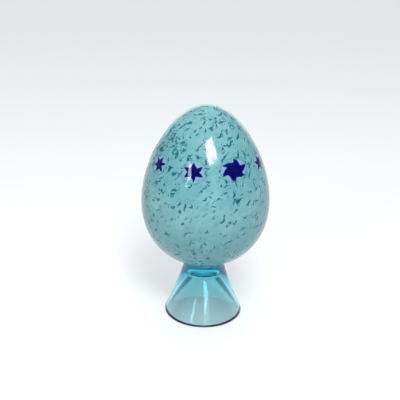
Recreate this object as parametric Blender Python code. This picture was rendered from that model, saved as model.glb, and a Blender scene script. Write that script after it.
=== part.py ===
"""Blown glass egg with a belt of murrine, resting on its hollow conical glass stand.

Metres, +Z up. The origin is at the middle of the circle on which the stand's rim stands.
Two separate solids: the sealed egg, and the stand, whose dished top holds it.
"""

import math

import bmesh
import bpy

# The egg
EGG_DIAMETER = 0.1048
EGG_HEIGHT = 0.1333
EGG_TAPER = 0.215  # how much the crown narrows and the base swells, as a share of the width

# The stand, outside
STAND_HEIGHT = 0.0483
FOOT_DIAMETER = 0.0660
NECK_DIAMETER = 0.0318
WAIST_DEPTH = 0.0012  # how far the side is drawn in from a straight cone, halfway up
LIP_ROUND = 0.0011
RIM_ROUND = 0.0005

# The dished seat on top of the stand
LIP_FLAT = 0.0006  # the level ring between the lip's rounding and the seat
SEAT_CLEARANCE = 0.00035
DISH_RELIEF = 0.0009  # how much deeper than the egg's underside the middle of the dish is

# The hollow inside the stand
RIM_WALL = 0.0042
NECK_GLASS = 0.0105  # solid glass between the dish and the roof of the hollow
ROOF_DIAMETER = 0.0180  # where the side of the hollow turns into its roof
ROOF_RISE = 0.0025

# How finely the round shapes are cut
TURN_STEPS = 64
EGG_STEPS = 34
DISH_STEPS = 5
ROUND_STEPS = 4
WALL_STEPS = 9
ROOF_STEPS = 7
ROOF_SQUARENESS = 4.0  # 2 is an elliptical roof, more is flatter with a tighter corner
SHARP_EDGE = math.radians(40)

AQUA_EGG = (0.22, 0.52, 0.56, 1.0)
AQUA_GLASS = (0.45, 0.84, 0.90, 1.0)
GLASS_IOR = 1.5
WELD_DISTANCE = 1e-7
HALVINGS = 50


def egg_point(turn):
    """(radius, height above the lowest point) at an angle from 0 at the crown to pi at the base."""
    widest_cosine = (1 - math.sqrt(1 + 8 * EGG_TAPER**2)) / (4 * EGG_TAPER)
    widest = math.sqrt(1 - widest_cosine**2) * (1 - EGG_TAPER * widest_cosine)
    radius = EGG_DIAMETER / 2 * math.sin(turn) * (1 - EGG_TAPER * math.cos(turn)) / widest
    return radius, EGG_HEIGHT / 2 * (1 + math.cos(turn))


def underside_height(radius):
    """Height above the egg's lowest point at which its underside has this radius."""
    low, high = math.pi / 2, math.pi
    for _ in range(HALVINGS):
        middle = (low + high) / 2
        if egg_point(middle)[0] > radius:
            low = middle
        else:
            high = middle
    return egg_point(high)[1]


def egg_outline():
    """Half outline of the egg, from its base up to its crown."""
    turns = [math.pi * (1 - i / EGG_STEPS) for i in range(1, EGG_STEPS)]
    return [(0.0, 0.0), *map(egg_point, turns), (0.0, EGG_HEIGHT)]


def seat_radius():
    """Radius of the circle nearest to the egg, which carries it."""
    return NECK_DIAMETER / 2 - LIP_ROUND - LIP_FLAT


def egg_bottom():
    """Height of the egg's lowest point when the seat's circle carries it."""
    return STAND_HEIGHT + SEAT_CLEARANCE - underside_height(seat_radius())


def dish_height(radius):
    """Height of the dish, which follows the egg's underside and falls away to its middle."""
    relief = DISH_RELIEF * (1 - (radius / seat_radius()) ** 2)
    return egg_bottom() - SEAT_CLEARANCE + underside_height(radius) - relief


def roof_height():
    """Height of the middle of the hollow's roof."""
    return dish_height(0) - NECK_GLASS


def outer_radius(height):
    """Radius of the stand's outside between its two rounded edges: a cone with a waist."""
    share = (height - RIM_ROUND) / (STAND_HEIGHT - LIP_ROUND - RIM_ROUND)
    cone = FOOT_DIAMETER / 2 + (NECK_DIAMETER - FOOT_DIAMETER) / 2 * share
    return cone - 4 * WAIST_DEPTH * share * (1 - share)


def hollow_radius(height):
    """Radius of the hollow's side, from inside the rim up to the edge of the roof."""
    share = (height - RIM_ROUND) / (roof_height() - ROOF_RISE - RIM_ROUND)
    mouth = FOOT_DIAMETER / 2 - RIM_WALL
    return mouth + (ROOF_DIAMETER / 2 - mouth) * share


def arc(centre, radius, first, last):
    """Points of an arc about centre, between two angles in degrees."""
    degrees = [first + (last - first) * i / ROUND_STEPS for i in range(ROUND_STEPS + 1)]
    return [
        (centre[0] + radius * math.cos(a), centre[1] + radius * math.sin(a))
        for a in map(math.radians, degrees)
    ]


def heights_between(first, last):
    """Heights inside a stretch of wall, without its two ends."""
    return [first + (last - first) * i / WALL_STEPS for i in range(1, WALL_STEPS)]


def dish_outline():
    """From the middle of the dish out to the circle that carries the egg."""
    radii = [seat_radius() * i / DISH_STEPS for i in range(DISH_STEPS + 1)]
    return [(radius, dish_height(radius)) for radius in radii]


def outside_outline():
    """From the rounded lip down the outside to the rounded edge of the rim."""
    lip = STAND_HEIGHT - LIP_ROUND
    side = [(outer_radius(h), h) for h in heights_between(lip, RIM_ROUND)]
    return (
        arc((NECK_DIAMETER / 2 - LIP_ROUND, lip), LIP_ROUND, 90, 0)
        + side
        + arc((FOOT_DIAMETER / 2 - RIM_ROUND, RIM_ROUND), RIM_ROUND, 0, -90)
    )


def hollow_outline():
    """From the rim's inner edge up the side of the hollow, and over its roof to the axis."""
    roof_edge = roof_height() - ROOF_RISE
    mouth = FOOT_DIAMETER / 2 - RIM_WALL
    side = [(hollow_radius(h), h) for h in heights_between(RIM_ROUND, roof_edge)]
    power = 2 / ROOF_SQUARENESS
    roof = [
        (
            ROOF_DIAMETER / 2 * math.cos(a) ** power,
            roof_edge + ROOF_RISE * math.sin(a) ** power,
        )
        for a in (math.pi / 2 * i / ROOF_STEPS for i in range(ROOF_STEPS))
    ]
    rim = arc((mouth + RIM_ROUND, RIM_ROUND), RIM_ROUND, -90, -180)
    return rim + side + roof + [(0.0, roof_height())]


def glass(name, colour, roughness, clearness):
    """A glass material: clearness 0 is opaque, 1 is see-through."""
    material = bpy.data.materials.new(name)
    material.use_nodes = True
    shader = material.node_tree.nodes["Principled BSDF"]
    shader.inputs["Base Color"].default_value = colour
    shader.inputs["Metallic"].default_value = 0.0
    shader.inputs["Roughness"].default_value = roughness
    shader.inputs["IOR"].default_value = GLASS_IOR
    shader.inputs["Transmission Weight"].default_value = clearness
    return material


def turned(name, outline, material):
    """A closed solid: the outline turned about Z. Both its ends lie on the axis."""
    shape = bmesh.new()
    points = [shape.verts.new((radius, 0.0, height)) for radius, height in outline]
    edges = [shape.edges.new(pair) for pair in zip(points, points[1:])]
    bmesh.ops.spin(
        shape,
        geom=points + edges,
        axis=(0, 0, 1),
        cent=(0, 0, 0),
        angle=2 * math.pi,
        steps=TURN_STEPS,
    )
    bmesh.ops.remove_doubles(shape, verts=shape.verts, dist=WELD_DISTANCE)
    bmesh.ops.recalc_face_normals(shape, faces=shape.faces)
    mesh = bpy.data.meshes.new(name)
    shape.to_mesh(mesh)
    shape.free()
    mesh.materials.append(material)
    mesh.shade_smooth()
    mesh.set_sharp_from_angle(angle=SHARP_EDGE)
    solid = bpy.data.objects.new(name, mesh)
    bpy.context.scene.collection.objects.link(solid)
    return solid


def main():
    for old in list(bpy.data.objects):
        bpy.data.objects.remove(old)
    group = bpy.data.objects.new("murrine_glass_egg", None)
    bpy.context.scene.collection.objects.link(group)

    stand_outline = dish_outline() + outside_outline() + hollow_outline()
    stand = turned("stand", stand_outline, glass("aqua_glass", AQUA_GLASS, 0.02, 1.0))
    egg = turned("egg", egg_outline(), glass("speckled_glass", AQUA_EGG, 0.06, 0.0))
    egg.location.z = egg_bottom()
    for piece in (stand, egg):
        piece.parent = group


main()
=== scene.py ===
"""Looks of a blown glass egg with a belt of star murrine, resting on its hollow glass stand.

Metres, +Z up. The origin is at the middle of the circle on which the stand's rim stands, and
the side that the camera sees faces -Y. An azimuth is measured round Z from -Y towards +X.
"""

import logging
import math
from dataclasses import dataclass
from enum import Enum
from typing import Any

import bpy
import numpy as np
from mathutils import Matrix, Vector


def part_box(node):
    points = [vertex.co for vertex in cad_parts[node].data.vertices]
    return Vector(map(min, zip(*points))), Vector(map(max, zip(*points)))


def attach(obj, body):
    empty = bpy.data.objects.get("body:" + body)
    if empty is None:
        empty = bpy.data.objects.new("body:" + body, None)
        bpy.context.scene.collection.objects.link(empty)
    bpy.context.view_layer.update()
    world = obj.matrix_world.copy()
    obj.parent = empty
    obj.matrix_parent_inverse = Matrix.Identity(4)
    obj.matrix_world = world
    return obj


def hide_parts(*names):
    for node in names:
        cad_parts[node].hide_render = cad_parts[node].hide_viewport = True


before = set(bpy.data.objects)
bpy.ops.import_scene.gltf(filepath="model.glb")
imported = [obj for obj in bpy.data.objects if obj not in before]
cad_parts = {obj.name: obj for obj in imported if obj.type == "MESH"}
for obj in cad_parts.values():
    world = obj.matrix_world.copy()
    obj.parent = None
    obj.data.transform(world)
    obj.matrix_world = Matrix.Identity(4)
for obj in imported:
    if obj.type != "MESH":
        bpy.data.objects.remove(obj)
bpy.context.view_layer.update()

LOG = logging.getLogger("murrine_egg")

MM = 0.001
WELD = 1e-7
SMOOTH_BELOW = math.radians(40)
HALVINGS = 50  # how often the search for a place on the egg's side is narrowed
GLASS_IOR = 1.5
AIM_HEIGHT = 90 * MM  # about the middle of the object, which the lights and the camera face
CANE_MAP_REACH = 4.0  # how far the cane map goes from a murrina's middle, where 1 is its edge
NO_CANE_FORM = (6.0, 0.5, 0.0)  # points, valley and swirl of the faces without a murrina

Outline = list[tuple[float, float]]
Socket = bpy.types.NodeSocket
Tree = bpy.types.NodeTree


def linear(colour: str) -> tuple[float, float, float, float]:
    """Turn an sRGB hex colour into the linear values that a shader takes.

    Args:
        colour: Six hex digits after a hash sign.

    Returns:
        Linear red, green and blue, and an alpha of 1.
    """
    parts = [int(colour[i : i + 2], 16) / 255 for i in (1, 3, 5)]
    red, green, blue = (
        c / 12.92 if c <= 0.04045 else ((c + 0.055) / 1.055) ** 2.4 for c in parts
    )
    return red, green, blue, 1.0


def add_node(
    tree: Tree, kind: str, sockets: dict[str | int, Any] | None = None, **settings: Any
) -> bpy.types.Node:
    """Add a shader node with its settings and its links.

    Args:
        tree: The node tree that gets the node.
        kind: Blender's name for the type of node, after "ShaderNode".
        sockets: What goes into each input, by name or number: a socket to link, or a value.
        **settings: The node's own options.

    Returns:
        The new node.
    """
    node = tree.nodes.new("ShaderNode" + kind)
    for name, value in settings.items():
        setattr(node, name, value)
    for name, value in (sockets or {}).items():
        if isinstance(value, Socket):
            tree.links.new(value, node.inputs[name])
        else:
            node.inputs[name].default_value = value
    return node


def maths(tree: Tree, operation: str, *values: Any) -> Socket:
    """Work out one number from others in a shader.

    Args:
        tree: The node tree.
        operation: Blender's name for the operation.
        *values: Sockets or numbers, in the node's order.

    Returns:
        The socket with the result.
    """
    return add_node(tree, "Math", dict(enumerate(values)), operation=operation).outputs[0]


def vectors(tree: Tree, operation: str, *values: Any) -> Socket:
    """Work out a vector or, for a dot product or a length, a number from vectors in a shader.

    Args:
        tree: The node tree.
        operation: Blender's name for the operation.
        *values: Sockets or vectors, in the node's order.

    Returns:
        The socket with the result.
    """
    node = add_node(tree, "VectorMath", dict(enumerate(values)), operation=operation)
    return node.outputs[1 if operation in {"DOT_PRODUCT", "LENGTH"} else 0]


def noise(tree: Tree, place: Socket, size: float, detail: float) -> bpy.types.Node:
    """Fill space with soft noise.

    Args:
        tree: The node tree.
        place: The position where it is looked up.
        size: How far apart its swells are, in the units of place.
        detail: How many finer layers lie on them.

    Returns:
        The node, whose outputs are a number and a colour.
    """
    return add_node(tree, "TexNoise", {"Vector": place, "Scale": 1 / size, "Detail": detail})


@dataclass(frozen=True)
class Rise:
    """A smooth change from first to last while another value goes from start to end."""

    start: float
    end: float
    first: float = 0.0
    last: float = 1.0

    def over(self, tree: Tree, value: Socket) -> Socket:
        """Work out the change in a shader.

        Args:
            tree: The node tree.
            value: The value that it follows.

        Returns:
            The socket with the result.
        """
        sockets = {0: value, 1: self.start, 2: self.end, 3: self.first, 4: self.last}
        return add_node(tree, "MapRange", sockets, interpolation_type="SMOOTHSTEP").outputs[0]


def blend(tree: Tree, share: Any, first: Any, second: Any) -> Socket:
    """Mix two colours.

    Args:
        tree: The node tree.
        share: How much of the second colour there is, from 0 to 1.
        first: A colour or its socket.
        second: A colour or its socket.

    Returns:
        The socket with the mixed colour.
    """
    node = add_node(tree, "Mix", {0: share, 6: first, 7: second}, data_type="RGBA")
    return node.outputs[2]


def deselect_all() -> None:
    """Leave nothing selected, so that an operator acts only on what is picked next."""
    bpy.ops.object.select_all(action="DESELECT")


def turned(name: str, outline: Outline, steps: int) -> bpy.types.Object:
    """Draw an outline by extruding one corner along it, and spin it round Z into a closed body.

    Args:
        name: The piece's name.
        outline: (radius, height) points in metres. Both ends lie on the axis.
        steps: How many times the outline is repeated round the axis.

    Returns:
        The finished piece, with its object at the origin.
    """
    deselect_all()
    radius, height = outline[0]
    bpy.ops.mesh.primitive_plane_add(size=MM, location=(radius, 0, height))
    piece = bpy.context.object
    piece.name = piece.data.name = name
    bpy.ops.object.transform_apply(location=True, rotation=True, scale=True)
    bpy.ops.object.mode_set(mode="EDIT")
    bpy.ops.mesh.select_all(action="SELECT")
    bpy.ops.mesh.merge(type="CENTER")
    for (radius, height), (next_radius, next_height) in zip(outline, outline[1:]):
        move = (next_radius - radius, 0, next_height - height)
        bpy.ops.mesh.extrude_region_move(TRANSFORM_OT_translate={"value": move})
    bpy.ops.mesh.select_all(action="SELECT")
    bpy.ops.mesh.spin(steps=steps, angle=math.tau, center=(0, 0, 0), axis=(0, 0, 1))
    bpy.ops.mesh.select_all(action="SELECT")
    bpy.ops.mesh.remove_doubles(threshold=WELD)
    bpy.ops.mesh.normals_make_consistent(inside=False)
    bpy.ops.object.mode_set(mode="OBJECT")
    bpy.ops.object.shade_smooth_by_angle(angle=SMOOTH_BELOW)
    return piece


def new_material(name: str) -> tuple[bpy.types.Material, bpy.types.Node]:
    """Make a material with nodes.

    Args:
        name: What the real material is and how it was made.

    Returns:
        The material and its Principled shader.
    """
    material = bpy.data.materials.new(name)
    material.use_nodes = True
    return material, material.node_tree.nodes["Principled BSDF"]


def set_sockets(shader: bpy.types.Node, values: dict[str, Any]) -> None:
    """Set a shader's own sockets to values that are the same all over the surface.

    Args:
        shader: The shader node.
        values: The value of each socket, by its name.
    """
    for name, value in values.items():
        shader.inputs[name].default_value = value


class StarForm(Enum):
    """How the star of a murrina is drawn: the value is how rounded its points are."""

    POINTED = 0.25
    SWIRLED = 1.0


@dataclass(frozen=True)
class Murrina:
    """One slice of patterned cane, fused into the side of the egg.

    azimuth and turn are in degrees. height is that of its middle above the floor, and tall its
    own, both in millimetres. wide is the width as a share of tall, valley is where the star's
    sides meet as a share of its points, and swirl is how far its edge is dragged round against
    its middle, in radians.
    """

    azimuth: float
    height: float
    tall: float
    wide: float
    points: int
    valley: float
    turn: float
    swirl: float
    form: StarForm


BELT: tuple[Murrina, ...] = (
    Murrina(-55.1, 139.5, 16.0, 1.08, 6, 0.52, 21.0, 0.10, StarForm.POINTED),
    Murrina(-12.5, 139.8, 18.0, 1.12, 6, 0.54, 31.0, -0.10, StarForm.POINTED),
    Murrina(29.8, 140.6, 18.8, 1.28, 6, 0.68, 33.0, -1.00, StarForm.SWIRLED),
    Murrina(69.6, 139.4, 15.4, 1.15, 6, 0.52, 40.0, 0.00, StarForm.POINTED),
    Murrina(108.8, 139.0, 15.8, 1.16, 7, 0.62, 10.0, -0.80, StarForm.SWIRLED),
    Murrina(148.1, 140.2, 15.4, 1.14, 6, 0.52, 25.0, -0.05, StarForm.POINTED),
    Murrina(187.3, 139.6, 17.0, 1.20, 7, 0.66, -15.0, -1.00, StarForm.SWIRLED),
    Murrina(226.5, 140.4, 15.0, 1.12, 6, 0.52, 5.0, 0.08, StarForm.POINTED),
    Murrina(265.7, 139.7, 16.0, 1.16, 6, 0.54, 33.0, -0.12, StarForm.POINTED),
)


@dataclass(frozen=True)
class Splinters:
    """One layer of short dark glass splinters, strewn over the egg.

    cell is the spacing, and half_length and half_width the smallest and the largest half size,
    all in millimetres. share is how many of the cells hold one, depth is how dark they are, and
    shift sets the layer apart from the others.
    """

    cell: float
    half_length: tuple[float, float]
    half_width: tuple[float, float]
    share: float
    depth: float
    shift: float


@dataclass(frozen=True)
class Smears:
    """One layer of dark glass drawn out into long threads as the egg was blown.

    width is the spacing across them in millimetres, stretch is how many times longer than wide
    they are, twist is how far they wind round the egg in degrees a millimetre, sparse and dense
    are how high the noise must be to make a thread where there are few and where there are many,
    depth is how dark they are, and shift sets the layer apart from the others.
    """

    width: float
    stretch: float
    twist: float
    sparse: float
    dense: float
    depth: float
    shift: float


@dataclass(frozen=True)
class SpeckledGlass:
    """Opaque blown glass, rolled in coloured glass grit and cased in clear glass.

    The eye sees a pale, slightly cloudy aqua, short dark teal threads that lean one way where the
    hot glass was twisted, cobalt stars in lilac rings, and a wet gloss over it all. The ground is
    also painted darker towards the bottom and towards the left and right edges: painted shade.

    Places and sizes are in millimetres from the egg's middle, and inside a murrina in shares of
    its radius.
    """

    ground: str = "#6BA4AB"
    ground_pale: str = "#7CB1B6"
    # The colour of the random deep patches, and also of the painted shade towards the bottom and
    # the left and right edges
    ground_deep_and_shade: str = "#4C808B"
    thread: str = "#005F6E"
    star: str = "#000872"
    star_deep: str = "#00004E"
    star_heart: str = "#0E0858"
    lilac: str = "#9098C4"
    cane_skin: str = "#3F7684"

    # The ground: its noises, where it is pale or deep, and its painted shade towards the bottom
    # and the left and right edges
    cloud_size: float = 14.0
    patch_size: float = 4.5
    pale_clouds: Rise = Rise(0.45, 0.75)
    deep_patches: Rise = Rise(0.50, 0.80, 0.0, 0.4)
    # Painted shade: the ground is painted darker towards the bottom
    painted_shade_below: Rise = Rise(10.0, -40.0, 0.0, 0.5)
    # Painted shade: the ground is painted darker towards its left and right edges, as the camera
    # sees them
    painted_shade_at_sides: Rise = Rise(36.0, 52.0, 0.0, 0.5)

    # How crowded the threads are, by height, towards the left, and by a noise
    crowd_size: float = 16.0
    crowded_above: Rise = Rise(0.0, 40.0, 0.52, 0.86)
    crowded_left: Rise = Rise(-50.0, -5.0, 0.17, 0.0)
    crowded_patches: Rise = Rise(0.35, 0.65, -0.20, 0.03)

    # How the threads are bent: each pair is the size of the pushes and how far they reach
    smear_push: tuple[float, float] = (6.0, 3.0)
    splinter_pushes: tuple[tuple[float, float], ...] = ((5.0, 3.2), (1.8, 0.7))

    # The splinters: their lean, and the short arm on one end as shares of the sliver's own sizes
    lean: float = math.radians(50)
    lean_spread: float = math.radians(60)
    arm_start: float = 0.45
    arm_length: float = 0.6
    arm_overlap: float = 0.7
    arm_width: float = 0.75
    sliver_edge: Rise = Rise(0.0, 0.22)
    palest_sliver: float = 0.8
    smear_edge: Rise = Rise(0.0, 0.035)
    splinters: tuple[Splinters, ...] = (
        Splinters(7.6, (2.0, 5.0), (0.55, 1.20), 1.0, 1.0, 0.0),
        Splinters(5.8, (1.3, 3.4), (0.38, 0.85), 0.55, 1.0, 37.0),
        Splinters(4.2, (0.4, 1.5), (0.22, 0.50), 0.20, 0.9, 11.0),
    )
    smears: tuple[Smears, ...] = (Smears(2.1, 4.6, 0.95, 0.73, 0.64, 0.75, 71.0),)

    # The murrine: star, pale ring and dark skin, from the middle out
    cane_noise_size: float = 4.0
    cane_wobble: float = 0.22
    star_reach: float = 0.79
    swirled_reach: float = 0.09
    star_edge: Rise = Rise(-0.035, 0.035)
    star_depth: Rise = Rise(0.0, 0.30)
    heart: Rise = Rise(0.35, 0.0)
    heart_depth: float = 0.4
    ring: Rise = Rise(0.98, 0.84)
    ring_clearing: float = 0.5
    ring_pale: Rise = Rise(0.86, 0.72)
    ring_patches: Rise = Rise(0.40, 0.62, 0.25, 0.95)
    skin_inside: Rise = Rise(0.89, 0.96)
    skin_outside: Rise = Rise(1.07, 0.98)
    skin_depth: float = 0.45

    # The gloss
    roughness: float = 0.05
    ripple_size: float = 9.0
    ripple_strength: float = 0.6
    ripple_height: float = 0.25 * MM

    def make(self, middle: Vector) -> bpy.types.Material:
        """Make the material.

        Args:
            middle: The middle of the egg.

        Returns:
            The material, for a mesh with the cane map and the cane attributes.
        """
        material, shader = new_material("blown_glass_with_threads_and_murrine")
        tree = material.node_tree
        place = add_node(tree, "TexCoord").outputs["Object"]
        place = vectors(tree, "SUBTRACT", place, middle)
        place = vectors(tree, "MULTIPLY", place, (1 / MM,) * 3)
        colour = self._with_threads(tree, place, self._ground(tree, place))
        colour = self._with_murrine(tree, place, colour)
        tree.links.new(colour, shader.inputs["Base Color"])
        tree.links.new(self._ripple(tree, place), shader.inputs["Normal"])
        set_sockets(shader, {"Roughness": self.roughness, "IOR": GLASS_IOR, "Metallic": 0.0})
        return material

    def _ground(self, tree: Tree, place: Socket) -> Socket:
        """Cloud the aqua ground with paler and deeper patches, and paint shade on it: darker
        towards the bottom and towards the left and right edges.

        Args:
            tree: The node tree.
            place: Position in millimetres from the egg's middle.

        Returns:
            The ground's colour.
        """
        cloud = noise(tree, place, self.cloud_size, 3.0).outputs[0]
        patch = noise(tree, place, self.patch_size, 2.0).outputs[0]
        axes = add_node(tree, "SeparateXYZ", {0: place}).outputs
        side = maths(tree, "ABSOLUTE", axes["X"])
        pale = self.pale_clouds.over(tree, cloud)
        deep_and_shade = self.deep_patches.over(tree, patch)
        # Painted shade: the ground is painted darker towards the bottom and the left and right
        # edges
        deep_and_shade = maths(tree, "ADD", deep_and_shade, self.painted_shade_below.over(tree, axes["Z"]))
        deep_and_shade = maths(tree, "ADD", deep_and_shade, self.painted_shade_at_sides.over(tree, side))
        colour = blend(tree, pale, linear(self.ground), linear(self.ground_pale))
        return blend(tree, deep_and_shade, colour, linear(self.ground_deep_and_shade))

    def _with_threads(self, tree: Tree, place: Socket, ground: Socket) -> Socket:
        """Lay the layers of threads over the ground.

        Args:
            tree: The node tree.
            place: Position in millimetres from the egg's middle.
            ground: The ground's colour.

        Returns:
            The colour with the threads.
        """
        axes = add_node(tree, "SeparateXYZ", {0: place}).outputs
        crowd = noise(tree, place, self.crowd_size, 1.0).outputs[0]
        density = self.crowded_above.over(tree, axes["Z"])
        density = maths(tree, "ADD", density, self.crowded_left.over(tree, axes["X"]))
        density = maths(tree, "ADD", density, self.crowded_patches.over(tree, crowd))
        bent = self._pushed(tree, place, *self.smear_push)
        jagged = place
        for size, reach in self.splinter_pushes:
            jagged = self._pushed(tree, jagged, size, reach)
        masks = [self._smear_layer(tree, bent, density, layer) for layer in self.smears]
        masks += [self._splinter_layer(tree, jagged, density, layer) for layer in self.splinters]
        colour = ground
        for mask in masks:
            colour = blend(tree, mask, colour, linear(self.thread))
        return colour

    def _pushed(self, tree: Tree, place: Socket, size: float, reach: float) -> Socket:
        """Push a position about with noise.

        Args:
            tree: The node tree.
            place: The position.
            size: How far apart the pushes are.
            reach: How far they push.

        Returns:
            The pushed position.
        """
        wave = noise(tree, place, size, 1.0).outputs["Color"]
        push = vectors(tree, "SUBTRACT", wave, (0.5, 0.5, 0.5))
        return vectors(tree, "MULTIPLY_ADD", push, (2 * reach,) * 3, place)

    def _spun(self, tree: Tree, place: Socket, angle: Socket) -> Socket:
        """Turn a position round Z.

        Args:
            tree: The node tree.
            place: The position.
            angle: By how much, in radians.

        Returns:
            The turned position.
        """
        sockets = {"Vector": place, "Angle": angle}
        return add_node(tree, "VectorRotate", sockets, rotation_type="Z_AXIS").outputs[0]

    def _lens(self, tree: Tree, along: Socket, beside: Socket, length: Any, width: Any) -> Socket:
        """Draw one sliver with two sharp ends.

        Args:
            tree: The node tree.
            along: Distance along it from its middle.
            beside: Distance from its middle line.
            length: Half its length.
            width: Half its width.

        Returns:
            How far inside it the point is, as a share of its half width.
        """
        far = maths(tree, "POWER", maths(tree, "DIVIDE", along, length), 2.0)
        off = maths(tree, "ABSOLUTE", maths(tree, "DIVIDE", beside, width))
        return maths(tree, "SUBTRACT", maths(tree, "SUBTRACT", 1.0, far), off)

    def _splinter_layer(
        self, tree: Tree, place: Socket, density: Socket, layer: Splinters
    ) -> Socket:
        """Draw in each cell that holds one a splinter with a short arm on one end.

        Args:
            tree: The node tree.
            place: Position in millimetres, pushed about a little.
            density: How crowded the splinters are, from 0 to 1.
            layer: The layer's sizes.

        Returns:
            How much of a splinter there is, from 0 to 1.
        """
        # Where the point lies from its cell's middle, round the egg and up its side
        normal = add_node(tree, "NewGeometry").outputs["Normal"]
        round_way = vectors(tree, "NORMALIZE", vectors(tree, "CROSS_PRODUCT", (0, 0, 1), normal))
        up_way = vectors(tree, "CROSS_PRODUCT", normal, round_way)
        here = vectors(tree, "ADD", place, (layer.shift,) * 3)
        cells = add_node(tree, "TexVoronoi", {"Vector": here, "Scale": 1 / layer.cell})
        away = vectors(tree, "SUBTRACT", here, cells.outputs["Position"])
        across = vectors(tree, "DOT_PRODUCT", away, round_way)
        upward = vectors(tree, "DOT_PRODUCT", away, up_way)
        flat = add_node(tree, "CombineXYZ", {0: across, 1: upward}).outputs[0]

        # Six random numbers for each cell, the same on every run
        chance = add_node(tree, "SeparateColor", {0: cells.outputs["Color"]}).outputs
        more = add_node(tree, "TexWhiteNoise", {"Vector": cells.outputs["Position"]})
        other = add_node(tree, "SeparateColor", {0: more.outputs["Color"]}).outputs

        # The sliver, which seldom swings far from the common lean
        swing = maths(tree, "MULTIPLY_ADD", chance[0], 2.0, -1.0)
        swing = maths(tree, "MULTIPLY", swing, maths(tree, "ABSOLUTE", swing))
        lean = maths(tree, "MULTIPLY_ADD", swing, -self.lean_spread, -self.lean)
        body = self._spun(tree, flat, lean)
        body_axes = add_node(tree, "SeparateXYZ", {0: body}).outputs
        (shortest, longest), (thinnest, thickest) = layer.half_length, layer.half_width
        length = maths(tree, "MULTIPLY_ADD", chance[1], longest - shortest, shortest)
        width = maths(tree, "MULTIPLY_ADD", chance[2], thickest - thinnest, thinnest)
        inside = self._lens(tree, body_axes[0], body_axes[1], length, width)

        # Its arm, which starts inside it and goes off at an angle
        foot = maths(tree, "MULTIPLY", length, self.arm_start)
        arm = vectors(tree, "SUBTRACT", body, add_node(tree, "CombineXYZ", {0: foot}).outputs[0])
        bend = maths(tree, "MULTIPLY_ADD", other[0], 2.0, -1.0)
        arm_axes = add_node(tree, "SeparateXYZ", {0: self._spun(tree, arm, bend)}).outputs
        reach = maths(tree, "MULTIPLY", length, self.arm_length)
        start = maths(tree, "MULTIPLY_ADD", reach, self.arm_overlap, arm_axes[0])
        thin = maths(tree, "MULTIPLY", width, self.arm_width)
        inside = maths(tree, "MAXIMUM", inside, self._lens(tree, start, arm_axes[1], reach, thin))

        # Only some cells hold one, and some are darker than others
        mask = self.sliver_edge.over(tree, inside)
        held = maths(tree, "LESS_THAN", other[1], maths(tree, "MULTIPLY", density, layer.share))
        palest = self.palest_sliver * layer.depth
        depth = maths(tree, "MULTIPLY_ADD", other[2], layer.depth - palest, palest)
        return maths(tree, "MULTIPLY", mask, maths(tree, "MULTIPLY", held, depth))

    def _smear_layer(self, tree: Tree, place: Socket, density: Socket, layer: Smears) -> Socket:
        """Draw threads as the peaks of a noise that is drawn out along a winding line.

        Args:
            tree: The node tree.
            place: Position in millimetres, pushed about a little.
            density: How crowded the threads are, from 0 to 1.
            layer: The layer's sizes.

        Returns:
            How much of a thread there is, from 0 to 1.
        """
        height = add_node(tree, "SeparateXYZ", {0: place}).outputs["Z"]
        angle = maths(tree, "MULTIPLY", height, -math.radians(layer.twist))
        unwound = self._spun(tree, place, angle)
        drawn = (1.0, 1.0, 1 / layer.stretch)
        unwound = vectors(tree, "MULTIPLY_ADD", unwound, drawn, (layer.shift,) * 3)
        cloud = noise(tree, unwound, layer.width, 1.5).outputs[0]
        lift = layer.dense - layer.sparse
        edge = maths(tree, "MULTIPLY_ADD", density, lift, layer.sparse)
        mask = self.smear_edge.over(tree, maths(tree, "SUBTRACT", cloud, edge))
        return maths(tree, "MULTIPLY", mask, layer.depth)

    def _with_murrine(self, tree: Tree, place: Socket, ground: Socket) -> Socket:
        """Draw the slices of cane over the ground, each from its own map and attributes.

        Args:
            tree: The node tree.
            place: Position in millimetres from the egg's middle.
            ground: The colour of the glass round them.

        Returns:
            The colour with the murrine.
        """
        # Where the point lies on its slice, pushed about a little so that no edge is perfect
        cane = add_node(tree, "UVMap", uv_map="cane").outputs[0]
        spread, back = 2 * CANE_MAP_REACH, -CANE_MAP_REACH
        cane = vectors(tree, "MULTIPLY_ADD", cane, (spread, spread, 0.0), (back, back, 0.0))
        wave = noise(tree, place, self.cane_noise_size, 2.0)
        push = vectors(tree, "SUBTRACT", wave.outputs["Color"], (0.5, 0.5, 0.5))
        wobble = (self.cane_wobble, self.cane_wobble, 0.0)
        cane = vectors(tree, "ADD", cane, vectors(tree, "MULTIPLY", push, wobble))

        # How far inside the star's edge it is
        form = add_node(tree, "Attribute", attribute_name="cane_form").outputs["Vector"]
        form = add_node(tree, "SeparateXYZ", {0: form}).outputs
        points, valley, swirl = form[0], form[1], form[2]
        rounded = add_node(tree, "Attribute", attribute_name="cane_round").outputs["Fac"]
        across = add_node(tree, "SeparateXYZ", {0: cane}).outputs
        flat = add_node(tree, "CombineXYZ", {0: across[0], 1: across[1]}).outputs[0]
        radius = vectors(tree, "LENGTH", flat)
        angle = maths(tree, "ARCTAN2", across[1], across[0])
        angle = maths(tree, "MULTIPLY_ADD", radius, swirl, angle)
        turns = maths(tree, "MULTIPLY", angle, maths(tree, "DIVIDE", points, math.tau))
        tooth = maths(tree, "MULTIPLY", maths(tree, "PINGPONG", turns, 0.5), 2.0)
        softer = maths(tree, "SUBTRACT", Rise(0.0, 1.0).over(tree, tooth), tooth)
        tooth = maths(tree, "MULTIPLY_ADD", softer, rounded, tooth)
        tip = maths(tree, "MULTIPLY_ADD", rounded, self.swirled_reach, self.star_reach)
        steep = maths(tree, "SUBTRACT", maths(tree, "DIVIDE", 1.0, valley), 1.0)
        edge = maths(tree, "DIVIDE", tip, maths(tree, "MULTIPLY_ADD", tooth, steep, 1.0))
        inside = maths(tree, "SUBTRACT", edge, radius)

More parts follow.
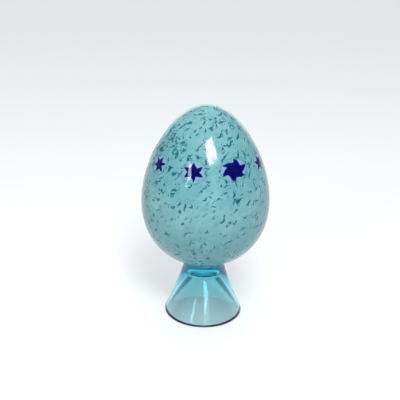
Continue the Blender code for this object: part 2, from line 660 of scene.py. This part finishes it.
        # The star's blue, the pale ring round it and the dark skin of the cane
        depth = self.star_depth.over(tree, inside)
        blue = blend(tree, depth, linear(self.star), linear(self.star_deep))
        heart = maths(tree, "MULTIPLY", self.heart.over(tree, radius), self.heart_depth)
        blue = blend(tree, heart, blue, linear(self.star_heart))
        ring = self.ring.over(tree, radius)
        clear = maths(tree, "MULTIPLY", ring, self.ring_clearing)
        pale = maths(tree, "MULTIPLY", ring, self.ring_pale.over(tree, radius))
        pale = maths(tree, "MULTIPLY", pale, self.ring_patches.over(tree, wave.outputs["Fac"]))
        skin = self.skin_inside.over(tree, radius)
        skin = maths(tree, "MULTIPLY", skin, self.skin_outside.over(tree, radius))
        skin = maths(tree, "MULTIPLY", skin, self.skin_depth)
        colour = blend(tree, clear, ground, linear(self.ground))
        colour = blend(tree, pale, colour, linear(self.lilac))
        colour = blend(tree, skin, colour, linear(self.cane_skin))
        return blend(tree, self.star_edge.over(tree, inside), colour, blue)

    def _ripple(self, tree: Tree, place: Socket) -> Socket:
        """Ripple the gloss, as on blown glass that was fire polished and never ground.

        Args:
            tree: The node tree.
            place: Position in millimetres from the egg's middle.

        Returns:
            The bent normal.
        """
        swell = noise(tree, place, self.ripple_size, 2.0).outputs[0]
        size = {"Strength": self.ripple_strength, "Distance": self.ripple_height}
        return add_node(tree, "Bump", {"Height": swell} | size).outputs[0]


@dataclass(frozen=True)
class AquaGlass:
    """Clear glass tinted turquoise in the mass, hot worked and fire polished.

    The eye sees almost nothing in a thin wall, a strong turquoise where it looks through solid
    glass, and a dark line along the rim, where it looks up inside the wall.

    loss_per_m is how much red, green and blue light the glass takes away on a metre, and headroom
    is how far the volume's density lies above the largest of them.
    """

    tint: str = "#FFFFFF"
    roughness: float = 0.0
    loss_per_m: tuple[float, float, float] = (90.0, 27.0, 18.0)
    headroom: float = 1.02

    def make(self) -> bpy.types.Material:
        """Make the material.

        Returns:
            The material.
        """
        material, shader = new_material("hot_worked_aqua_glass")
        tree = material.node_tree
        values = {"Base Color": linear(self.tint), "Roughness": self.roughness}
        set_sockets(shader, values | {"IOR": GLASS_IOR, "Transmission Weight": 1.0})
        # The volume takes away its density times what its colour lacks of 1.
        density = self.headroom * max(self.loss_per_m)
        passed = [1 - loss / density for loss in self.loss_per_m]
        sockets = {"Color": (*passed, 1.0), "Density": density}
        volume = add_node(tree, "VolumeAbsorption", sockets).outputs[0]
        tree.links.new(volume, tree.nodes["Material Output"].inputs["Volume"])
        return material


@dataclass
class GlassEgg:
    """The sealed egg: one turned body, with the murrine as low lenses in its surface.

    taper is how much the crown narrows and the base swells, as a share of the width. lens_height
    is how far a lens stands out. lens_reach is how far it goes, and form_reach how far the faces
    that take a murrina's form go, both in shares of the murrina's radius.
    """

    low: Vector
    high: Vector
    taper: float = 0.215
    rings: int = 150
    steps: int = 288
    lens_height: float = 0.35 * MM
    lens_reach: float = 1.12
    form_reach: float = 1.5

    @property
    def middle(self) -> Vector:
        """The middle of the egg's box."""
        return (self.low + self.high) / 2

    @property
    def height(self) -> float:
        """The egg's height."""
        return self.high.z - self.low.z

    def _swell(self, cosine: float) -> float:
        """Radius before scaling, by height above the middle as a share of half the height."""
        return math.sqrt(max(0.0, 1 - cosine**2)) * (1 - self.taper * cosine)

    def radius(self, height: float) -> float:
        """Work out the egg's radius.

        Args:
            height: Height above the floor.

        Returns:
            The radius there.
        """
        widest = (1 - math.sqrt(1 + 8 * self.taper**2)) / (4 * self.taper)
        scale = (self.high.x - self.low.x) / 2 / self._swell(widest)
        return scale * self._swell((height - self.middle.z) / (self.height / 2))

    def outline(self) -> Outline:
        """Work out the half outline.

        Returns:
            Points from the base up to the crown.
        """
        turns = (math.pi * (1 - i / self.rings) for i in range(1, self.rings))
        heights = [self.middle.z + self.height / 2 * math.cos(turn) for turn in turns]
        side = [(self.radius(height), height) for height in heights]
        return [(0.0, self.low.z), *side, (0.0, self.high.z)]

    def build(self) -> bpy.types.Object:
        """Build and dress the egg.

        Returns:
            The finished piece.
        """
        piece = turned("egg_glass", self.outline(), self.steps)
        self._map_murrine(piece)
        self._raise_lenses(piece)
        piece.data.materials.append(SpeckledGlass().make(self.middle))
        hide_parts("egg")
        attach(piece, "root")
        return piece

    def _cane_place(self, murrina: Murrina, points: np.ndarray) -> np.ndarray:
        """Work out where points lie on a slice of cane.

        Args:
            murrina: The slice.
            points: Positions, one a row.

        Returns:
            Their place across and up the slice, turned with its star, where 1 is its edge, and
            how far in front of the egg's axis they lie.
        """
        azimuth = math.radians(murrina.azimuth)
        height = murrina.height * MM
        step = 0.5 * MM
        slope = (self.radius(height + step) - self.radius(height - step)) / (2 * step)
        outward = np.array([math.sin(azimuth), -math.cos(azimuth), 0.0])
        sideways = np.array([math.cos(azimuth), math.sin(azimuth), 0.0])
        upward = outward * slope + np.array([0.0, 0.0, 1.0])
        upward /= np.linalg.norm(upward)
        centre = outward * self.radius(height) + np.array([0.0, 0.0, height])
        half = murrina.tall * MM / 2
        across = (points - centre) @ sideways / (half * murrina.wide)
        up = (points - centre) @ upward / half
        turn = math.radians(murrina.turn)
        cosine, sine = math.cos(turn), math.sin(turn)
        turned_across = across * cosine + up * sine
        turned_up = up * cosine - across * sine
        return np.stack([turned_across, turned_up, points @ outward], axis=1)

    def _map_murrine(self, piece: bpy.types.Object) -> None:
        """Give the mesh its cane map, and each murrina's form to the faces that it covers.

        Args:
            piece: The egg's mesh object.
        """
        mesh = piece.data
        while mesh.uv_layers:
            mesh.uv_layers.remove(mesh.uv_layers[0])
        corner_count, face_count = len(mesh.loops), len(mesh.polygons)
        points = np.zeros(len(mesh.vertices) * 3)
        mesh.vertices.foreach_get("co", points)
        points = points.reshape(-1, 3)
        corners = np.zeros(corner_count, dtype=np.int32)
        mesh.loops.foreach_get("vertex_index", corners)
        centres = np.zeros(face_count * 3)
        mesh.polygons.foreach_get("center", centres)
        centres = centres.reshape(-1, 3)
        sizes = np.zeros(face_count, dtype=np.int32)
        mesh.polygons.foreach_get("loop_total", sizes)
        face_of_corner = np.repeat(np.arange(face_count), sizes)
        map_place = np.ones((corner_count, 2))
        form = np.tile(NO_CANE_FORM, (face_count, 1))
        rounded = np.zeros(face_count)
        for murrina in BELT:
            at = self._cane_place(murrina, centres)
            inside = (np.hypot(at[:, 0], at[:, 1]) < self.form_reach) & (at[:, 2] > 0)
            form[inside] = (murrina.points, murrina.valley, murrina.swirl)
            rounded[inside] = murrina.form.value
            covered = inside[face_of_corner]
            place = self._cane_place(murrina, points[corners[covered]])
            map_place[covered] = (place[:, :2] / CANE_MAP_REACH + 1) / 2
        cane_map = mesh.uv_layers.new(name="cane")
        cane_map.data.foreach_set("uv", map_place.ravel())
        cane_form = mesh.attributes.new("cane_form", "FLOAT_VECTOR", "FACE")
        cane_form.data.foreach_set("vector", form.ravel())
        cane_round = mesh.attributes.new("cane_round", "FLOAT", "FACE")
        cane_round.data.foreach_set("value", rounded)

    def _raise_lenses(self, piece: bpy.types.Object) -> None:
        """Raise each murrina a little, as a slice that was not pressed quite flush.

        Args:
            piece: The egg's mesh object.
        """
        points = np.array([v.co for v in piece.data.vertices])
        group = piece.vertex_groups.new(name="lenses")
        for murrina in BELT:
            at = self._cane_place(murrina, points)
            reach = np.hypot(at[:, 0], at[:, 1]) / self.lens_reach
            for index in np.flatnonzero((reach < 1) & (at[:, 2] > 0)):
                group.add([int(index)], float((1 - reach[index] ** 2) ** 2), "REPLACE")
        deselect_all()
        piece.select_set(True)
        bpy.context.view_layer.objects.active = piece
        raised = piece.modifiers.new("raised_lenses", "DISPLACE")
        raised.vertex_group = group.name
        raised.mid_level = 0.0
        raised.strength = self.lens_height
        bpy.ops.object.modifier_apply(modifier=raised.name)


@dataclass
class GlassStand:
    """The flared foot: solid at its neck, hollow below, with a dished top that holds the egg.

    Its sizes are those of the CAD solid, whose shape it repeats with more steps.
    """

    low: Vector
    high: Vector
    egg: GlassEgg
    neck_diameter: float = 31.8 * MM
    waist_depth: float = 1.2 * MM
    lip_round: float = 1.1 * MM
    lip_flat: float = 0.6 * MM
    rim_round: float = 0.5 * MM
    seat_clearance: float = 0.35 * MM
    dish_relief: float = 0.9 * MM
    rim_wall: float = 4.2 * MM
    neck_glass: float = 10.5 * MM
    roof_diameter: float = 18.0 * MM
    roof_rise: float = 2.5 * MM
    roof_squareness: float = 4.0
    steps: int = 256
    wall_steps: int = 28
    round_steps: int = 8
    roof_steps: int = 20
    dish_steps: int = 12

    @property
    def height(self) -> float:
        """The stand's height."""
        return self.high.z

    @property
    def foot_radius(self) -> float:
        """Radius of the stand's widest circle."""
        return (self.high.x - self.low.x) / 2

    @property
    def seat_radius(self) -> float:
        """Radius of the circle that carries the egg."""
        return self.neck_diameter / 2 - self.lip_round - self.lip_flat

    def _underside(self, radius: float) -> float:
        """Work out how high the egg's underside is where it has a radius.

        Args:
            radius: The radius, which the egg reaches in its lowest quarter.

        Returns:
            The height above the egg's lowest point.
        """
        low, high = 0.0, self.egg.height / 4
        for _ in range(HALVINGS):
            middle = (low + high) / 2
            if self.egg.radius(self.egg.low.z + middle) > radius:
                high = middle
            else:
                low = middle
        return low

    def _dish_height(self, radius: float) -> float:
        """Work out the height of the dish, which follows the egg and falls away to its middle.

        Args:
            radius: Distance from the axis.

        Returns:
            The height above the floor.
        """
        drop = self._underside(self.seat_radius) - self._underside(radius)
        return self.height - drop - self.dish_relief * (1 - (radius / self.seat_radius) ** 2)

    def _roof_height(self) -> float:
        """Height of the middle of the hollow's roof."""
        return self._dish_height(0.0) - self.neck_glass

    def _outer_radius(self, height: float) -> float:
        """Work out the radius of the outside between its rounded edges: a cone with a waist.

        Args:
            height: Height above the floor.

        Returns:
            The radius there.
        """
        share = (height - self.rim_round) / (self.height - self.lip_round - self.rim_round)
        cone = self.foot_radius + (self.neck_diameter / 2 - self.foot_radius) * share
        return cone - 4 * self.waist_depth * share * (1 - share)

    def _hollow_radius(self, height: float) -> float:
        """Work out the radius of the hollow's side, from inside the rim up to the roof's edge.

        Args:
            height: Height above the floor.

        Returns:
            The radius there.
        """
        edge = self._roof_height() - self.roof_rise
        share = (height - self.rim_round) / (edge - self.rim_round)
        mouth = self.foot_radius - self.rim_wall
        return mouth + (self.roof_diameter / 2 - mouth) * share

    def _arc(
        self, centre: tuple[float, float], radius: float, first: float, last: float
    ) -> Outline:
        """Work out the points of an arc.

        Args:
            centre: Its centre, as radius and height.
            radius: Its radius.
            first: The angle where it starts, in degrees.
            last: The angle where it ends.

        Returns:
            The arc's points, both ends among them.
        """
        angles = np.radians(np.linspace(first, last, self.round_steps + 1))
        return [
            (centre[0] + radius * math.cos(a), centre[1] + radius * math.sin(a)) for a in angles
        ]

    def outline(self) -> Outline:
        """Work out the half section, from the dish's middle round to the roof's middle.

        Returns:
            The section's points.
        """
        lip, rim = self.height - self.lip_round, self.rim_round
        mouth = self.foot_radius - self.rim_wall
        edge = self._roof_height() - self.roof_rise
        radii = np.linspace(0, self.seat_radius, self.dish_steps + 1)
        dish = [(radius, self._dish_height(radius)) for radius in radii]
        heights = np.linspace(lip, rim, self.wall_steps + 1)[1:-1]
        outside = [(self._outer_radius(height), height) for height in heights]
        heights = np.linspace(rim, edge, self.wall_steps + 1)[1:-1]
        inside = [(self._hollow_radius(height), height) for height in heights]
        power = 2 / self.roof_squareness
        roof_radius = self.roof_diameter / 2
        turns = np.linspace(0, math.pi / 2, self.roof_steps + 1)[:-1]
        roof = [
            (roof_radius * math.cos(a) ** power, edge + self.roof_rise * math.sin(a) ** power)
            for a in turns
        ]
        return [
            *dish,
            *self._arc((self.neck_diameter / 2 - self.lip_round, lip), self.lip_round, 90, 0),
            *outside,
            *self._arc((self.foot_radius - rim, rim), rim, 0, -90),
            *self._arc((mouth + rim, rim), rim, -90, -180),
            *inside,
            *roof,
            (0.0, self._roof_height()),
        ]

    def build(self) -> bpy.types.Object:
        """Build and dress the stand.

        Returns:
            The finished piece.
        """
        piece = turned("stand_glass", self.outline(), self.steps)
        piece.data.materials.append(AquaGlass().make())
        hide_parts("stand")
        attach(piece, "root")
        return piece


@dataclass(frozen=True)
class Softbox:
    """A plain studio light with a diffusing front, aimed at the middle of the object.

    azimuth, elevation and roll are in degrees, and distance, width and height in metres.
    brightness is that of its front, where 1 is as bright as white in the picture.
    """

    name: str
    azimuth: float
    elevation: float
    distance: float
    width: float
    height: float
    brightness: float
    roll: float = 0.0

    def place(self, target: Vector) -> None:
        """Hang the light.

        Args:
            target: The point that it faces.
        """
        azimuth, elevation = math.radians(self.azimuth), math.radians(self.elevation)
        away = Vector(
            (
                math.sin(azimuth) * math.cos(elevation),
                -math.cos(azimuth) * math.cos(elevation),
                math.sin(elevation),
            )
        )
        deselect_all()
        bpy.ops.object.light_add(type="AREA", location=target + away * self.distance)
        lamp = bpy.context.object
        lamp.name = lamp.data.name = self.name
        lamp.data.shape = "RECTANGLE"
        lamp.data.size = self.width
        lamp.data.size_y = self.height
        lamp.data.energy = self.brightness * math.pi * self.width * self.height
        lamp.rotation_mode = "QUATERNION"
        roll = Matrix.Rotation(math.radians(self.roll), 3, "Z").to_quaternion()
        lamp.rotation_quaternion = away.to_track_quat("Z", "Y") @ roll


@dataclass
class Studio:
    """A plain pale floor, soft light and the camera.

    The camera's elevation and roll are in degrees. focal_pixels is its focal length in pixels of
    a picture that is frame_pixels wide, and target_right_pixels and target_down_pixels are how
    far right and down of the picture's middle the target lies. The rises of the sky follow the
    direction: its height, or how far it points away from the camera.
    """

    target: Vector
    distance: float = 0.560
    elevation: float = 23.2
    roll: float = 1.2
    focal_pixels: float = 680.0
    frame_pixels: float = 400.0
    sensor: float = 36.0
    target_right_pixels: float = 5.4
    target_down_pixels: float = 12.0
    floor_size: float = 6.0
    floor_drop: float = 0.05 * MM
    floor_colour: str = "#D2D5D7"
    floor_glow: float = 0.29
    bounces: int = 36
    white: str = "#FFFFFF"
    room_colour: str = "#C6CED8"
    ceiling: Rise = Rise(0.45, 0.90, 0.0, 0.84)
    room: Rise = Rise(-0.1, 0.6, 0.17, 0.42)
    backdrop: Rise = Rise(0.78, 0.94, 0.0, 1.05)
    white_where_bright: Rise = Rise(0.17, 0.7)
    lights: tuple[Softbox, ...] = (
        Softbox("window_light", 12.5, 49.0, 1.2, 0.34, 0.46, 15.0, 20.0),
        Softbox("window_glow", 12.5, 48.0, 1.21, 0.46, 0.60, 3.0, 20.0),
        Softbox("side_light", -37.0, 27.0, 1.2, 0.16, 0.48, 10.0, 16.0),
        Softbox("low_light", 19.0, 10.0, 1.2, 0.06, 0.20, 2.0),
    )

    def build(self) -> None:
        """Lay the floor, light the scene and set up the camera."""
        self._floor()
        self._sky()
        for light in self.lights:
            light.place(self.target)
        self._camera()
        scene = bpy.context.scene
        scene.view_settings.view_transform = "Standard"
        for kind in ("max_bounces", "transmission_bounces", "glossy_bounces"):
            setattr(scene.cycles, kind, self.bounces)

    def _floor(self) -> None:
        """Lay a plain matt card as the floor, lit evenly as on a light table."""
        deselect_all()
        bpy.ops.mesh.primitive_plane_add(size=self.floor_size, location=(0, 0, -self.floor_drop))
        floor = bpy.context.object
        floor.name = "floor"
        material, shader = new_material("matt_card")
        values = {"Base Color": linear(self.floor_colour), "Roughness": 0.9}
        values |= {"Emission Color": linear(self.white), "Emission Strength": self.floor_glow}
        set_sockets(shader, values | {"Specular IOR Level": 0.0})
        floor.data.materials.append(material)

    def _sky(self) -> None:
        """Surround the scene with soft light.

        It is white above, grey behind, dim where the camera is, and white again in a bright
        backdrop straight behind the object, which the eye sees through the glass.
        """
        world = bpy.data.worlds.new("room_light")
        world.use_nodes = True
        tree = world.node_tree
        way = add_node(tree, "TexCoord").outputs["Generated"]
        way = add_node(tree, "SeparateXYZ", {0: way}).outputs
        strength = self.ceiling.over(tree, way["Z"])
        for rise in (self.room, self.backdrop):
            strength = maths(tree, "ADD", strength, rise.over(tree, way["Y"]))
        bright = self.white_where_bright.over(tree, strength)
        colour = blend(tree, bright, linear(self.room_colour), linear(self.white))
        shade = add_node(tree, "Background", {0: colour, 1: strength}).outputs[0]
        tree.links.new(shade, tree.nodes["World Output"].inputs[0])
        bpy.context.scene.world = world

    def _camera(self) -> None:
        """Put the camera at the photographed angle, turned a little as in the photograph."""
        elevation = math.radians(self.elevation)
        away = Vector((0, -math.cos(elevation), math.sin(elevation)))
        right, up = Vector((1, 0, 0)), Vector((0, math.sin(elevation), math.cos(elevation)))
        per_pixel = self.distance / self.focal_pixels
        aim = self.target + up * (self.target_down_pixels * per_pixel)
        aim -= right * (self.target_right_pixels * per_pixel)
        place = self.target + away * self.distance
        camera_data = bpy.data.cameras.new("camera")
        camera_data.sensor_width = self.sensor
        camera_data.lens = self.focal_pixels / self.frame_pixels * self.sensor
        camera = bpy.data.objects.new("camera", camera_data)
        bpy.context.scene.collection.objects.link(camera)
        camera.location = place
        camera.rotation_mode = "QUATERNION"
        turn = Matrix.Rotation(math.radians(self.roll), 3, "Z").to_quaternion()
        camera.rotation_quaternion = (aim - place).to_track_quat("-Z", "Y") @ turn
        bpy.context.scene.camera = camera


def main() -> None:
    """Build the egg, the stand and the studio in order, and note the sizes."""
    logging.basicConfig(level=logging.INFO, format="%(name)s: %(message)s")
    egg = GlassEgg(*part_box("egg"))
    stand = GlassStand(*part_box("stand"), egg=egg)
    for piece in (egg.build(), stand.build()):
        LOG.info("%s: %d faces", piece.name, len(piece.data.polygons))
    Studio(target=Vector((0, 0, AIM_HEIGHT))).build()


if __name__ == "__main__":
    main()
